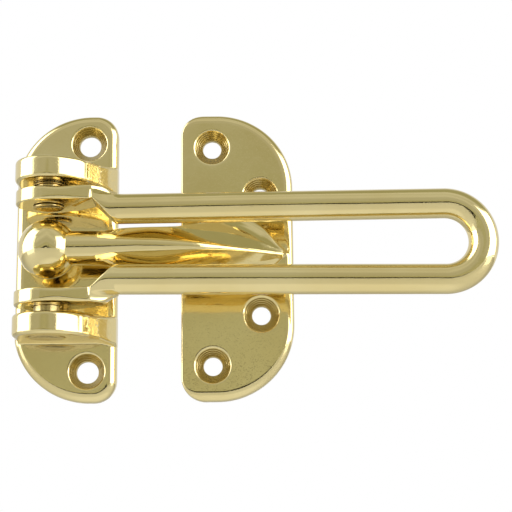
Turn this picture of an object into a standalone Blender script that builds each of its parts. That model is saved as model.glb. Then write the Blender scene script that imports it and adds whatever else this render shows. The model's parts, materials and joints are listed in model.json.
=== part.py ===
"""Swing bar door guard in polished brass: a frame plate with two lugs, a hinged U-shaped bar, and a door
plate whose arm carries a ball.  Metres, +Z up, X along the bar, the front towards -Y, both backs on y = 0.
"""

import math

import bmesh
import bpy
from mathutils import Matrix, Vector

# Plates
PLATE_HEIGHT = 0.0760
PLATE_THICK = 0.0041
EDGE_ROUND = 0.0023
SHARP_EDGE_ROUND = 0.0004
BIG_ARC = 0.0198
FRAME_INNER_X = 0.0167
FRAME_WIDTH = 0.0263
FRAME_ARC_OFFSET = 0.0069
FRAME_CORNER = 0.0058
DOOR_INNER_X = 0.0333
DOOR_WIDTH = 0.0292
DOOR_ARC_OFFSET = 0.0094
DOOR_CORNER = 0.0062

# Countersunk screw holes: (x, z) of the upper ones, each with a twin below
FRAME_HOLES = [(0.0092, 0.0301)]
FRAME_HOLE_RADIUS = 0.0028
DOOR_HOLES = [(0.0414, 0.0289), (0.0540, 0.0158)]
DOOR_HOLE_RADIUS = 0.0024
SINK_RADIUS = 0.0047
SINK_DEPTH = 0.0026

# Hinge: the pins lie on one line along Z, this far in front of the wall
PIN_HEIGHT = 0.0127
LUG_RADIUS = 0.0086
LUG_INNER_Z = 0.0170
LUG_OUTER_Z = 0.02265
LUG_ROOT = 0.0020
LUG_RIM = 0.0009
EYE_RADIUS = 0.0083
EYE_INNER_Z = 0.0111
EYE_OUTER_Z = 0.0148
EYE_RIM = 0.0006
BORE_RADIUS = 0.00365
PIN_RADIUS = 0.00335
PIN_HEAD_RADIUS = 0.00445
PIN_HEAD_THICK = 0.0010
PIN_PROUD = 0.0001
PEENED_RADIUS = 0.0039
PEENED_THICK = 0.0009
PEENED_DISH = 0.0003
WASHER_RADIUS = 0.0043
WASHER_THICK = 0.0005
GAP = 0.0003

# Loop of the bar
ROD_RADIUS = 0.0038
ROD_HEIGHT = 0.01816
LOOP_START_X = 0.0172
LOOP_START_Z = 0.0090
LOOP_END_X = 0.1002
LOOP_END_Z = 0.0097
NECK_END_X = 0.0184
NECK_ROUND = 0.0010

# Arm and ball of the door plate
BALL_RADIUS = 0.00755
ARM_ROOT = 0.0020
# Stations along the arm: x, half width, underside height, top height
ARM_STATIONS = [
    (0.0045, 0.00435, 0.00960, 0.01830),
    (0.0105, 0.00440, 0.00960, 0.01830),
    (0.0207, 0.00515, 0.00900, 0.01825),
    (0.0255, 0.00545, 0.00750, 0.01805),
    (0.0305, 0.00580, 0.00490, 0.01760),
    (0.0360, 0.00660, 0.00220, 0.01650),
    (0.0400, 0.00700, ARM_ROOT, 0.01500),
    (0.0450, 0.00690, ARM_ROOT, 0.01290),
    (0.0500, 0.00600, ARM_ROOT, 0.01030),
    (0.0545, 0.00430, ARM_ROOT, 0.00750),
    (0.0580, 0.00240, ARM_ROOT, 0.00530),
    (0.0602, 0.00100, ARM_ROOT, 0.00400),
]

ARC_STEP_DEG = 15
TURNED_STEPS = 28
SECTION_POINTS = 24
EDGE_STEPS = 3
SIDES = (("upper", 1), ("lower", -1))

# FACE_ON lays local (x, y, z) as (x, height on the wall, out from the wall); SIDE_ON as (x, out, along the pin)
FACE_ON = Matrix.Rotation(math.radians(90), 4, "X")
SIDE_ON = Matrix.Rotation(math.radians(180), 4, "X")


def clear_scene():
    for obj in list(bpy.data.objects):
        bpy.data.objects.remove(obj, do_unlink=True)


def new_collection(name):
    collection = bpy.data.collections.new(name)
    bpy.context.scene.collection.children.link(collection)
    return collection


def brass(name, colour, roughness):
    material = bpy.data.materials.new(name)
    material.use_nodes = True
    shader = material.node_tree.nodes["Principled BSDF"]
    shader.inputs["Base Color"].default_value = (*colour, 1.0)
    shader.inputs["Metallic"].default_value = 1.0
    shader.inputs["Roughness"].default_value = roughness
    return material


def mesh_object(name, mesh):
    obj = bpy.data.objects.new(name, mesh)
    CUTTERS.objects.link(obj)
    obj.hide_render = True
    obj.display_type = "WIRE"
    return obj


def as_part(obj, material, origin=(0.0, 0.0, 0.0)):
    """Moves a finished solid to the object's collection, with its origin where it turns or rests."""
    shift = Vector(origin) - obj.location
    obj.data.transform(Matrix.Translation(-(obj.rotation_euler.to_matrix().inverted() @ shift)))
    obj.location = origin
    CUTTERS.objects.unlink(obj)
    PARTS.objects.link(obj)
    obj.hide_render = False
    obj.display_type = "TEXTURED"
    obj.data.materials.clear()
    obj.data.materials.append(material)
    return obj


def combine(target, tool, operation):
    modifier = target.modifiers.new(f"{operation.title()} {tool.name}", "BOOLEAN")
    modifier.object = tool
    modifier.operation = operation


def round_edges(obj, width):
    modifier = obj.modifiers.new("Rounded edges", "BEVEL")
    modifier.width = width
    modifier.segments = 2
    modifier.limit_method = "ANGLE"
    modifier.angle_limit = math.radians(40)


def arc(centre, radius, start_deg, end_deg):
    """Points of an arc, about one every ARC_STEP_DEG, both ends included."""
    steps = max(1, round(abs(end_deg - start_deg) / ARC_STEP_DEG))
    angles = [math.radians(start_deg + (end_deg - start_deg) * i / steps) for i in range(steps + 1)]
    return [(centre[0] + radius * math.cos(a), centre[1] + radius * math.sin(a)) for a in angles]


def mesh_from_curve(name, curve_object):
    """The evaluated curve as a mesh object with its caps welded; the curve is removed."""
    graph = bpy.context.evaluated_depsgraph_get()
    mesh = bpy.data.meshes.new_from_object(curve_object.evaluated_get(graph))
    bm = bmesh.new()
    bm.from_mesh(mesh)
    bmesh.ops.remove_doubles(bm, verts=bm.verts, dist=0.000001)
    bmesh.ops.recalc_face_normals(bm, faces=bm.faces)
    bm.to_mesh(mesh)
    bm.free()
    mesh.transform(curve_object.matrix_world)
    bpy.data.objects.remove(curve_object, do_unlink=True)
    return mesh_object(name, mesh)


def new_spline(name, points, cyclic, dimensions):
    curve = bpy.data.curves.new(name, "CURVE")
    curve.dimensions = dimensions
    spline = curve.splines.new("POLY")
    spline.points.add(len(points) - 1)
    for spline_point, point in zip(spline.points, points):
        spline_point.co = (*point, 0.0, 1.0) if len(point) == 2 else (*point, 1.0)
    spline.use_cyclic_u = cyclic
    obj = bpy.data.objects.new(name, curve)
    CUTTERS.objects.link(obj)
    return obj


def flat_solid(name, outline, low, high, frame):
    """An outline extruded from low to high along the local Z of frame."""
    obj = new_spline(name, outline, True, "2D")
    obj.data.fill_mode = "BOTH"
    obj.data.extrude = (high - low) / 2
    obj.matrix_world = frame @ Matrix.Translation((0.0, 0.0, (low + high) / 2))
    bpy.context.view_layer.update()
    return mesh_from_curve(name, obj)


def turned_solid(name, profile, frame=Matrix.Identity(4), closed=False):
    """A profile of (radius, height) points, top to bottom, turned about the local Z of frame."""
    mesh = bpy.data.meshes.new(name)
    edges = [(i, i + 1) for i in range(len(profile) - 1)]
    if closed:
        edges.append((len(profile) - 1, 0))
    mesh.from_pydata([(r, 0.0, z) for r, z in profile], edges, [])
    obj = mesh_object(name, mesh)
    obj.matrix_world = frame
    screw = obj.modifiers.new("Turned", "SCREW")
    screw.axis = "Z"
    screw.angle = math.radians(360)
    screw.steps = TURNED_STEPS
    screw.render_steps = TURNED_STEPS
    screw.use_merge_vertices = True
    screw.merge_threshold = 0.00001
    return obj


def loft(name, rings):
    """A closed solid through rings of equal length, capped at both ends."""
    bm = bmesh.new()
    rows = [[bm.verts.new(point) for point in ring] for ring in rings]
    for row, following in zip(rows, rows[1:]):
        for i, vert in enumerate(row):
            j = (i + 1) % len(row)
            bm.faces.new((vert, row[j], following[j], following[i]))
    bm.faces.new(rows[0])
    bm.faces.new(rows[-1])
    bmesh.ops.recalc_face_normals(bm, faces=bm.faces)
    mesh = bpy.data.meshes.new(name)
    bm.to_mesh(mesh)
    bm.free()
    return mesh_object(name, mesh)


def plate_outline(width, arc_offset, corner):
    """Half-moon plate outline: a straight inner edge at u = 0, small corners, and big arcs to the outer edge."""
    top = PLATE_HEIGHT / 2
    meet = math.degrees(math.acos((width - arc_offset) / BIG_ARC))
    upper = arc((arc_offset, top - BIG_ARC), BIG_ARC, meet, 90)
    upper += arc((corner, top - corner), corner, 90, 180)
    return upper + [(u, -z) for u, z in reversed(upper)]


def outward_normals(outline):
    normals = []
    for i, point in enumerate(outline):
        before = Vector(point) - Vector(outline[i - 1])
        after = Vector(outline[(i + 1) % len(outline)]) - Vector(point)
        tangent = before.normalized() + after.normalized()
        normals.append(Vector((tangent.y, -tangent.x)).normalized())
    return normals


def plate(name, inner_x, direction, outline, edge_round_at):
    """A plate whose front edge is rounded by edge_round_at(u), lofted because that round changes along the edge."""
    normals = outward_normals(outline)

    def ring(angle_deg):
        inset_share = 1.0 - math.cos(math.radians(angle_deg))
        drop_share = 1.0 - math.sin(math.radians(angle_deg))
        points = []
        for (u, z), normal in zip(outline, normals):
            size = edge_round_at(u)
            points.append((inner_x + direction * (u - normal.x * size * inset_share),
                           -(PLATE_THICK - size * drop_share),
                           z - normal.y * size * inset_share))
        return points

    back = [(inner_x + direction * u, 0.0, z) for u, z in outline]
    return loft(name, [back] + [ring(90 * k / EDGE_STEPS) for k in range(EDGE_STEPS + 1)])


def cut_screw_holes(target, holes, hole_radius):
    over = 0.001
    profile = [(0.0, PLATE_THICK + over), (SINK_RADIUS, PLATE_THICK + over), (SINK_RADIUS, PLATE_THICK),
               (hole_radius, PLATE_THICK - SINK_DEPTH), (hole_radius, -over), (0.0, -over)]
    for number, (x, z) in enumerate(holes):
        for side, sign in SIDES:
            place = Matrix.Translation((x, 0.0, sign * z)) @ FACE_ON
            cutter = turned_solid(f"{target.name}_hole_{side}_{number}", profile, place)
            combine(target, cutter, "DIFFERENCE")


def pin_line(sign):
    """Frame of the hinge line, its Z pointing away from the middle of the guard on this side."""
    turn = Matrix.Identity(4) if sign > 0 else Matrix.Rotation(math.radians(180), 4, "X")
    return Matrix.Translation((0.0, -PIN_HEIGHT, 0.0)) @ turn


def lug_profile():
    """Side view of a lug: upright back, round over the pin, and a ramp to the plate's inner edge."""
    return ([(-LUG_RADIUS, LUG_ROOT)] + arc((0.0, PIN_HEIGHT), LUG_RADIUS, 180, 12)
            + [(0.0096, 0.0129), (0.0122, 0.0106), (0.0148, 0.0074), (0.0160, 0.0050), (0.0162, LUG_ROOT)])


def make_frame_plate(material):
    outline = plate_outline(FRAME_WIDTH, FRAME_ARC_OFFSET, FRAME_CORNER)
    body = plate("frame_plate", FRAME_INNER_X, -1, outline, lambda u: EDGE_ROUND)
    over = 0.001
    head_floor = LUG_OUTER_Z + PIN_PROUD - PIN_HEAD_THICK - GAP
    bore = [(0.0, LUG_OUTER_Z + over), (PIN_HEAD_RADIUS + GAP, LUG_OUTER_Z + over),
            (PIN_HEAD_RADIUS + GAP, head_floor), (BORE_RADIUS, head_floor),
            (BORE_RADIUS, LUG_INNER_Z - over), (0.0, LUG_INNER_Z - over)]
    for side, sign in SIDES:
        low, high = sorted((-sign * LUG_INNER_Z, -sign * LUG_OUTER_Z))
        lug = flat_solid(f"{side}_lug", lug_profile(), low, high, SIDE_ON)
        round_edges(lug, LUG_RIM)
        combine(body, lug, "UNION")
        combine(body, turned_solid(f"{side}_lug_bore", bore, pin_line(sign)), "DIFFERENCE")
    cut_screw_holes(body, FRAME_HOLES, FRAME_HOLE_RADIUS)
    return as_part(body, material)


def neck_side_view():
    """Side view of an eye and its neck: round over the pin, then the gooseneck out to the rod."""
    rod_top = ROD_HEIGHT + ROD_RADIUS
    rod_bottom = ROD_HEIGHT - ROD_RADIUS
    eye_top = PIN_HEIGHT + EYE_RADIUS
    return (arc((0.0, PIN_HEIGHT), EYE_RADIUS, 315, 90)
            + [(0.0112, eye_top), (0.0130, rod_top - 0.0001), (NECK_END_X, rod_top - 0.0001),
               (NECK_END_X, rod_bottom + 0.0001), (0.0150, rod_bottom + 0.0001)])


def neck_front_view():
    """Front view of the upper eye and neck: level strip, then the jog in towards the rod."""
    rod_outer = LOOP_START_Z + ROD_RADIUS
    rod_inner = LOOP_START_Z - ROD_RADIUS
    return [(-0.0095, EYE_INNER_Z), (0.0117, EYE_INNER_Z), (0.0172, rod_inner), (0.0192, rod_inner),
            (0.0192, rod_outer), (0.0176, rod_outer + 0.0003), (0.0166, rod_outer + 0.0014),
            (0.0154, EYE_OUTER_Z), (-0.0095, EYE_OUTER_Z)]


def loop_path():
    """Centre line of the loop from one neck to the other; the rods spread slightly towards the end."""
    end = arc((LOOP_END_X, 0.0), LOOP_END_Z, 90, -90)
    points = [(LOOP_START_X, LOOP_START_Z)] + end + [(LOOP_START_X, -LOOP_START_Z)]
    return [(x, -ROD_HEIGHT, z) for x, z in points]


def make_swing_bar(material):
    rod = new_spline("swing_bar", loop_path(), False, "3D")
    rod.data.bevel_depth = ROD_RADIUS
    rod.data.bevel_resolution = 4
    rod.data.use_fill_caps = True
    bpy.context.view_layer.update()
    body = mesh_from_curve("swing_bar", rod)
    over = 0.002
    bore = [(0.0, EYE_OUTER_Z + over), (BORE_RADIUS, EYE_OUTER_Z + over),
            (BORE_RADIUS, EYE_INNER_Z - over), (0.0, EYE_INNER_Z - over)]
    for side, sign in SIDES:
        low, high = sorted((-sign * 0.004, -sign * 0.016))
        neck = flat_solid(f"{side}_neck", neck_side_view(), low, high, SIDE_ON)
        front = [(x, sign * z) for x, z in neck_front_view()]
        combine(neck, flat_solid(f"{side}_neck_front", front, 0.0, 0.030, FACE_ON), "INTERSECT")
        round_edges(neck, EYE_RIM)
        combine(body, neck, "UNION")
        combine(body, turned_solid(f"{side}_eye_bore", bore, pin_line(sign)), "DIFFERENCE")
    return as_part(body, material, (0.0, -PIN_HEIGHT, 0.0))


def make_pin(side, sign, material):
    """A headed pin, let into the lug, through the washer and the eye, and peened inside with a dish."""
    head_top = LUG_OUTER_Z + PIN_PROUD
    peen_top = EYE_INNER_Z - GAP
    peen_bottom = peen_top - PEENED_THICK
    profile = [(0.0, head_top), (PIN_HEAD_RADIUS - 0.0002, head_top), (PIN_HEAD_RADIUS, head_top - 0.0002),
               (PIN_HEAD_RADIUS, head_top - PIN_HEAD_THICK), (PIN_RADIUS, head_top - PIN_HEAD_THICK),
               (PIN_RADIUS, peen_top), (PEENED_RADIUS, peen_top), (PEENED_RADIUS, peen_bottom + 0.0002),
               (PEENED_RADIUS - 0.0002, peen_bottom), (PEENED_RADIUS - 0.0008, peen_bottom),
               (0.0, peen_bottom + PEENED_DISH)]
    return as_part(turned_solid(f"{side}_hinge_pin", profile, pin_line(sign)), material,
                   (0.0, -PIN_HEIGHT, 0.0))


def make_washer(side, sign, material):
    top = LUG_INNER_Z - GAP
    profile = [(BORE_RADIUS, top), (WASHER_RADIUS, top), (WASHER_RADIUS, top - WASHER_THICK),
               (BORE_RADIUS, top - WASHER_THICK)]
    washer = turned_solid(f"{side}_friction_washer", profile, pin_line(sign), closed=True)
    return as_part(washer, material, (0.0, -PIN_HEIGHT, 0.0))


def make_arm():
    """The arm as a loft of ovals: a round stem by the ball, a deep rib where it runs into the plate."""
    rings = []
    for x, half_width, low, high in ARM_STATIONS:
        angles = [math.radians(360 * i / SECTION_POINTS) for i in range(SECTION_POINTS)]
        middle = (low + high) / 2
        rings.append([(x, -(middle + (high - low) / 2 * math.sin(a)), half_width * math.cos(a)) for a in angles])
    return loft("arm", rings)


def make_ball():
    mesh = bpy.data.meshes.new("ball")
    bm = bmesh.new()
    bmesh.ops.create_uvsphere(bm, u_segments=28, v_segments=16, radius=BALL_RADIUS)
    bm.to_mesh(mesh)
    bm.free()
    ball = mesh_object("ball", mesh)
    ball.location = (0.0, -PIN_HEIGHT, 0.0)
    return ball


def make_door_plate(material):
    outline = plate_outline(DOOR_WIDTH, DOOR_ARC_OFFSET, DOOR_CORNER)

    def edge_round(u):
        share = min(1.0, u / DOOR_CORNER)
        return SHARP_EDGE_ROUND + (EDGE_ROUND - SHARP_EDGE_ROUND) * share

    body = plate("door_plate", DOOR_INNER_X, 1, outline, edge_round)
    combine(body, make_arm(), "UNION")
    combine(body, make_ball(), "UNION")
    cut_screw_holes(body, DOOR_HOLES, DOOR_HOLE_RADIUS)
    return as_part(body, material)


def smooth_shading(obj):
    obj.data.shade_smooth()
    obj.data.set_sharp_from_angle(angle=math.radians(35))


clear_scene()
PARTS = new_collection("swing_bar_door_guard")
CUTTERS = new_collection("cutters")

pieces = [
    make_frame_plate(brass("frame plate brass", (0.80, 0.66, 0.33), 0.12)),
    make_swing_bar(brass("swing bar brass", (0.84, 0.69, 0.34), 0.10)),
    make_door_plate(brass("door plate brass", (0.78, 0.63, 0.30), 0.12)),
]
for side_name, side_sign in SIDES:
    pieces.append(make_pin(side_name, side_sign, brass(f"{side_name} pin brass", (0.70, 0.55, 0.25), 0.18)))
    pieces.append(make_washer(side_name, side_sign, brass(f"{side_name} washer brass", (0.66, 0.50, 0.22), 0.30)))
for piece in pieces:
    smooth_shading(piece)
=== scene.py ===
"""Polished brass swing bar door guard: fine castings, turned pins, brass finish and a plain studio."""

import json
import math

import bpy
import numpy as np
from mathutils import Matrix, Vector


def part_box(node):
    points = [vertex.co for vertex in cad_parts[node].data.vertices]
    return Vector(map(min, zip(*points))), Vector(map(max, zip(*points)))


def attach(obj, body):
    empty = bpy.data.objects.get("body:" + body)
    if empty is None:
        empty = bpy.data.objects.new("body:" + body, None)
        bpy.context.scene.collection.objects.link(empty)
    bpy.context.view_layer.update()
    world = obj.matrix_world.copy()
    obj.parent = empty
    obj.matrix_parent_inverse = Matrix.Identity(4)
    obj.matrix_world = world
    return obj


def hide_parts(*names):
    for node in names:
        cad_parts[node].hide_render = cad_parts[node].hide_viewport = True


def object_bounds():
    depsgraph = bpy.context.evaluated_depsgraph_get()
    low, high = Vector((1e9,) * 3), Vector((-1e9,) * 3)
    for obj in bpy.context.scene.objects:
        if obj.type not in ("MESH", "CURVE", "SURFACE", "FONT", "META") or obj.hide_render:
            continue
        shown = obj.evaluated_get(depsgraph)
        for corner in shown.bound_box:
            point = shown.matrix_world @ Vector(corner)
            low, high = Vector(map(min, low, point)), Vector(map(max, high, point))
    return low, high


bl_info = {
    "name": "Swing Bar Door Guard",
    "version": (1, 0, 0),
    "blender": (4, 5, 0),
    "location": "3D View > Sidebar > Door Guard",
    "description": "Builds a polished brass swing bar door guard on its packed frame",
    "category": "Object",
}

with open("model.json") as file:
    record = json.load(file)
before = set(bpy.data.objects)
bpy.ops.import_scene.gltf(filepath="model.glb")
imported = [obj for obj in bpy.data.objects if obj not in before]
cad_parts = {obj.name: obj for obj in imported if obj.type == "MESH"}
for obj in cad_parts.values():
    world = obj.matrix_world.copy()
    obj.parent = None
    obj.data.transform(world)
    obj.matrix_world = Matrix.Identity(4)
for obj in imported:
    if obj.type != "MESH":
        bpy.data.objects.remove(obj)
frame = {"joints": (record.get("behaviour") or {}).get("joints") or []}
CAD_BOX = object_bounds()

# What the frame says: boxes of the castings and the line of the hinge pins
FRAME_PLATE_LOW, FRAME_PLATE_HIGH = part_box("frame_plate")
DOOR_PLATE_LOW, DOOR_PLATE_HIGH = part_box("door_plate")
BAR_LOW, BAR_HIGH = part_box("swing_bar")
PIN_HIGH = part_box("upper_hinge_pin")[1]
WASHER_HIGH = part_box("upper_friction_washer")[1]
HINGE = next(joint for joint in frame["joints"] if joint["name"] == "bar_swing")
PIN_HEIGHT = -HINGE["pos_m"][1]

# The countersunk holes, as (x, z) of the upper ones; each has a twin below
FRAME_HOLES = ((0.0092, 0.0301),)
DOOR_HOLES = ((0.0414, 0.0289), (0.0540, 0.0158))
SIDES = (("upper", 1), ("lower", -1))

# The loop's rod, and how far its centre line stands from the middle at the end round
ROD_RADIUS = 0.0038
ROD_SPREAD = 0.0097


def length(name, description, default):
    """A bpy property for a length in metres."""
    return bpy.props.FloatProperty(name=name, description=description, default=default, min=0.0,
                                   precision=5, subtype="DISTANCE", unit="LENGTH")


def angle(name, description, degrees):
    """A bpy property for an angle, given in degrees."""
    return bpy.props.FloatProperty(name=name, description=description, default=math.radians(degrees),
                                   subtype="ANGLE", unit="ROTATION")


def share(name, description, default, highest=1.0):
    """A bpy property for a plain factor."""
    return bpy.props.FloatProperty(name=name, description=description, default=default, min=0.0,
                                   max=highest, subtype="FACTOR")


def power(name, description, default):
    """A bpy property for a lamp's power in watts."""
    return bpy.props.FloatProperty(name=name, description=description, default=default, min=0.0,
                                   subtype="POWER", unit="POWER")


def colour(name, description, default):
    """A bpy property for a colour."""
    return bpy.props.FloatVectorProperty(name=name, description=description, default=default, size=3,
                                         min=0.0, max=1.0, subtype="COLOR")


class PlateSizes(bpy.types.PropertyGroup):
    """Sizes that the two plates share."""

    thickness: length("Thickness", "Plate thickness", 0.0041)
    edge_round: length("Edge round", "Radius of the polished front edge", 0.0023)
    straight_edge_round: length("Straight edge round", "Radius on the door plate's straight edge", 0.0005)
    back_round: length("Back round", "Radius where the sides meet the back", 0.0003)
    big_arc: length("Big arc", "Radius of the plates' large arcs", 0.0198)
    frame_arc_offset: length("Frame arc offset", "Large arc centre from the frame plate's straight edge",
                             0.0069)
    frame_corner: length("Frame corner", "Radius of the frame plate's small corners", 0.0058)
    door_arc_offset: length("Door arc offset", "Large arc centre from the door plate's straight edge", 0.0094)
    door_corner: length("Door corner", "Radius of the door plate's small corners", 0.0062)
    frame_hole: length("Frame hole", "Radius of the frame plate's screw holes", 0.0028)
    door_hole: length("Door hole", "Radius of the door plate's screw holes", 0.0024)
    sink_radius: length("Countersink", "Radius of the countersinks at the front", 0.0047)
    sink_depth: length("Countersink depth", "Depth of the cone", 0.0026)
    hole_edge: length("Hole edge", "Radius on the edges of the bores", 0.0002)
    sink_edge: length("Countersink edge", "Radius on the edges of the countersinks", 0.0001)
    sink_overrun: length("Countersink overrun", "How far the cone goes on in front of the plate", 0.0003)
    door_edge: length("Door plate edge", "Straight edge of the door plate, along X", 0.0333)


class HingeSizes(bpy.types.PropertyGroup):
    """Sizes of the lugs, the eyes and their bores."""

    lug_radius: length("Lug radius", "Round of the lugs over the pin", -FRAME_PLATE_LOW.y - PIN_HEIGHT)
    lug_inner: length("Lug inner face", "Height of the lugs' inner faces above the middle", 0.0170)
    lug_outer: length("Lug outer face", "Height of the lugs' outer faces above the middle", 0.02265)
    lug_rim: length("Lug rim", "Radius on the lugs' rims", 0.0009)
    lug_fillet: length("Lug fillet", "Cast fillet between lugs and plate", 0.00025)
    lug_flare: length("Lug flare", "How far each face of a lug spreads along its ramp", 0.0009)
    shoulder_radius: length("Shoulder radius", "Radius of the flatter shoulder beside the round", 0.0146)
    shoulder_start: angle("Shoulder start", "Where the shoulder leaves the round", 23.3)
    shoulder_end: angle("Shoulder end", "Where the shoulder runs into the ramp", 58.5)
    notch_place: length("Notch place", "Middle of the rough hollow on the ramp, along X", 0.0116)
    notch_width: length("Notch width", "Half width of that hollow", 0.0008)
    notch_depth: length("Notch depth", "Depth of that hollow", 0.00004)
    eye_radius: length("Eye radius", "Round of the bar's eyes", -BAR_LOW.x)
    eye_inner: length("Eye inner face", "Height of the eyes' inner faces above the middle", 0.0111)
    eye_outer: length("Eye outer face", "Height of the eyes' outer faces above the middle", BAR_HIGH.z)
    eye_rim: length("Eye rim", "Radius on the eyes' rims where they are finest", 0.0004)
    full_rim: length("Full rim", "Radius on the eyes' rims beside the pin", 0.0014)
    rim_place: length("Rim place", "Where the rims are fullest, along X", 0.0032)
    rim_spread: length("Rim spread", "How far from there the full rims fade", 0.0048)
    inner_rim: share("Inner rim", "The inner rims' radius as a share of the outer ones'", 0.75)
    strip_start: length("Strip start", "How far back over the pin an eye's strip starts", 0.001)
    step_x: length("Strip end", "Where an eye's strip ends, along X", 0.0117)
    taper_start: length("Taper start", "Where the outer faces start to draw in to the rods, along X", 0.0137)
    slope_end: length("Slope end", "Where the slope past the strip ends, along X", 0.0182)
    slope_low: length("Slope foot", "Height of that slope's foot in front of the wall", 0.0158)
    heel_angle: angle("Heel angle", "Where the heel leaves the round of the eye, below level", 45)
    heel_end: length("Heel end", "Where the heel meets the back of the rod, along X", 0.0150)
    neck_fillet: length("Neck fillet", "Radius between eye and rod", 0.0007)
    jog_start: length("Jog start", "Where the slanted inner wall starts, along X", 0.0120)
    jog_slope: share("Jog slope", "How fast that wall closes in on the slot", 1.03, 4.0)
    jog_edge: length("Jog edge", "Radius on the crisp edges of the inner wall", 0.0003)
    bore: length("Bore", "Radius of the bores", 0.00365)
    head_bore: length("Head bore", "Radius of the recess for the pin's head", 0.00475)
    head_floor: length("Head floor", "Height of that recess's floor above the middle", 0.02145)
    bore_end: length("Bore end", "How far in front of the plate the bores of the lugs stop", 0.0005)


class PinSizes(bpy.types.PropertyGroup):
    """Sizes of the pins and washers that the frame leaves open."""

    shank: length("Shank", "Radius of a pin's shank", 0.00335)
    head_depth: length("Head depth", "Depth of a pin's head", 0.0010)
    dish_radius: length("Dish radius", "Radius of the shallow dish in the head", 0.0030)
    dish_rim: length("Dish rim", "Radius of the dish where it meets the head's face", 0.0032)
    dish_depth: length("Dish depth", "Depth of that dish", 0.00005)
    peen: length("Peen", "Radius of the peened end", 0.0039)
    peen_gap: length("Peen gap", "Gap between the peened end and the eye", 0.00005)
    peen_depth: length("Peen depth", "How far the peened end stands out from the eye's inner face", 0.0005)
    peen_rim: length("Peen rim", "Width of the flat rim round the peened end", 0.0007)
    cup_wall: length("Cup wall", "Width of the slope inside that rim", 0.0005)
    cup_depth: length("Cup depth", "Depth of the cup at the foot of the slope", 0.00022)
    cup_middle: length("Cup middle", "Depth of the cup in its middle", 0.00032)
    washer_radius: length("Washer radius", "Outer radius of the washers", 0.0040)
    washer_depth: length("Washer depth", "Thickness of the washers", 0.0003)


class BarSizes(bpy.types.PropertyGroup):
    """Sizes of the loop and of the webs in its necks."""

    rod_radius: length("Rod radius", "Radius of the loop's rod", ROD_RADIUS)
    rod_height: length("Rod height", "The loop's centre line in front of the wall", -BAR_LOW.y - ROD_RADIUS)
    start_z: length("Rod spread at the neck", "Centre line above the middle, by the eyes", 0.0090)
    end_z: length("Rod spread at the end", "Centre line above the middle, by the end round", ROD_SPREAD)
    start_x: length("Rod start", "Where the rods leave the necks", 0.0190)
    end_x: length("End round centre", "Centre of the end round", BAR_HIGH.x - ROD_RADIUS - ROD_SPREAD)
    bend: length("Bend", "How far the rod bends out towards the eye", 0.0020)
    bend_start: length("Bend start", "Where the bend starts, along X", 0.0168)
    bend_full: length("Bend full", "Where the bend is complete, along X", 0.0115)
    neck_end: length("Neck end", "Where the necks have run out into the plain loop, along X", 0.0210)
    web_start: length("Web start", "Where the web in each neck starts, along X", 0.0066)
    web_back: length("Web back", "Height of the web's back there, in front of the wall", 0.0072)
    web_shoulder: length("Web shoulder", "Where the web's front slope ends, along X", 0.0172)
    web_rise: length("Web rise", "Height of that end in front of the rod's centre line", 0.0030)
    web_end: length("Web end", "Where the web runs out on the rod's centre line, along X", 0.0195)
    web_heel: length("Web heel", "Height of the web's heel in front of the rod's back", 0.0004)
    web_inner: length("Web inner face", "Height of the web's inner face above the middle", 0.0065)
    web_outer: length("Web outer face", "Height of the web's outer face above the middle", 0.0121)


class ArmSizes(bpy.types.PropertyGroup):
    """Sizes of the door plate's arm and ball."""

    ball_radius: length("Ball radius", "Radius of the ball", -DOOR_PLATE_LOW.x)
    ball_crease: length("Ball crease", "Radius in the crease between ball and stem", 0.0002)
    end: length("Arm end", "Where the arm is cut off, along X", 0.0612)
    flank_edge: length("Flank edge", "Radius on the lower edges of the arm's flanks", 0.0004)
    skirt_angle: angle("Skirt angle", "Steepness of the skirt below the flanks", 54)
    stem_fillet: length("Stem fillet", "Radius where the stem crosses the plate's edge", 0.0006)
    root_fillet: length("Root fillet", "Radius round the arm's root, where it is fullest", 0.0032)
    root_start: length("Root start", "Where that fillet starts to grow, along X", 0.0340)
    root_full: length("Root full", "Where it is full, along X", 0.0460)
    root_fade: length("Root fade", "Where it starts to fade towards the tip, along X", 0.0540)
    root_end: length("Root end", "Where it has faded, along X", 0.0600)


class CastingDetail(bpy.types.PropertyGroup):
    """How finely the castings are meshed."""

    cell: length("Cell", "Size of the mesh cells", 0.0003)
    quick_cell: share("Quick cell", "How many times larger the cells are in a quick build", 1.6, 4.0)
    evening: share("Evening", "How far each point moves towards the middle of its neighbours", 0.6)
    turned_steps: bpy.props.IntProperty(name="Turned steps", description="Faces round a turned piece",
                                        default=96, min=12)
    broken_edge: length("Broken edge", "Bevel on the edges of the turned pieces", 0.00012)
    broken_angle: angle("Broken angle", "Edges sharper than this are bevelled", 30)
    crisp_angle: angle("Crisp angle", "Edges sharper than this are shaded crisp", 50)


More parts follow.
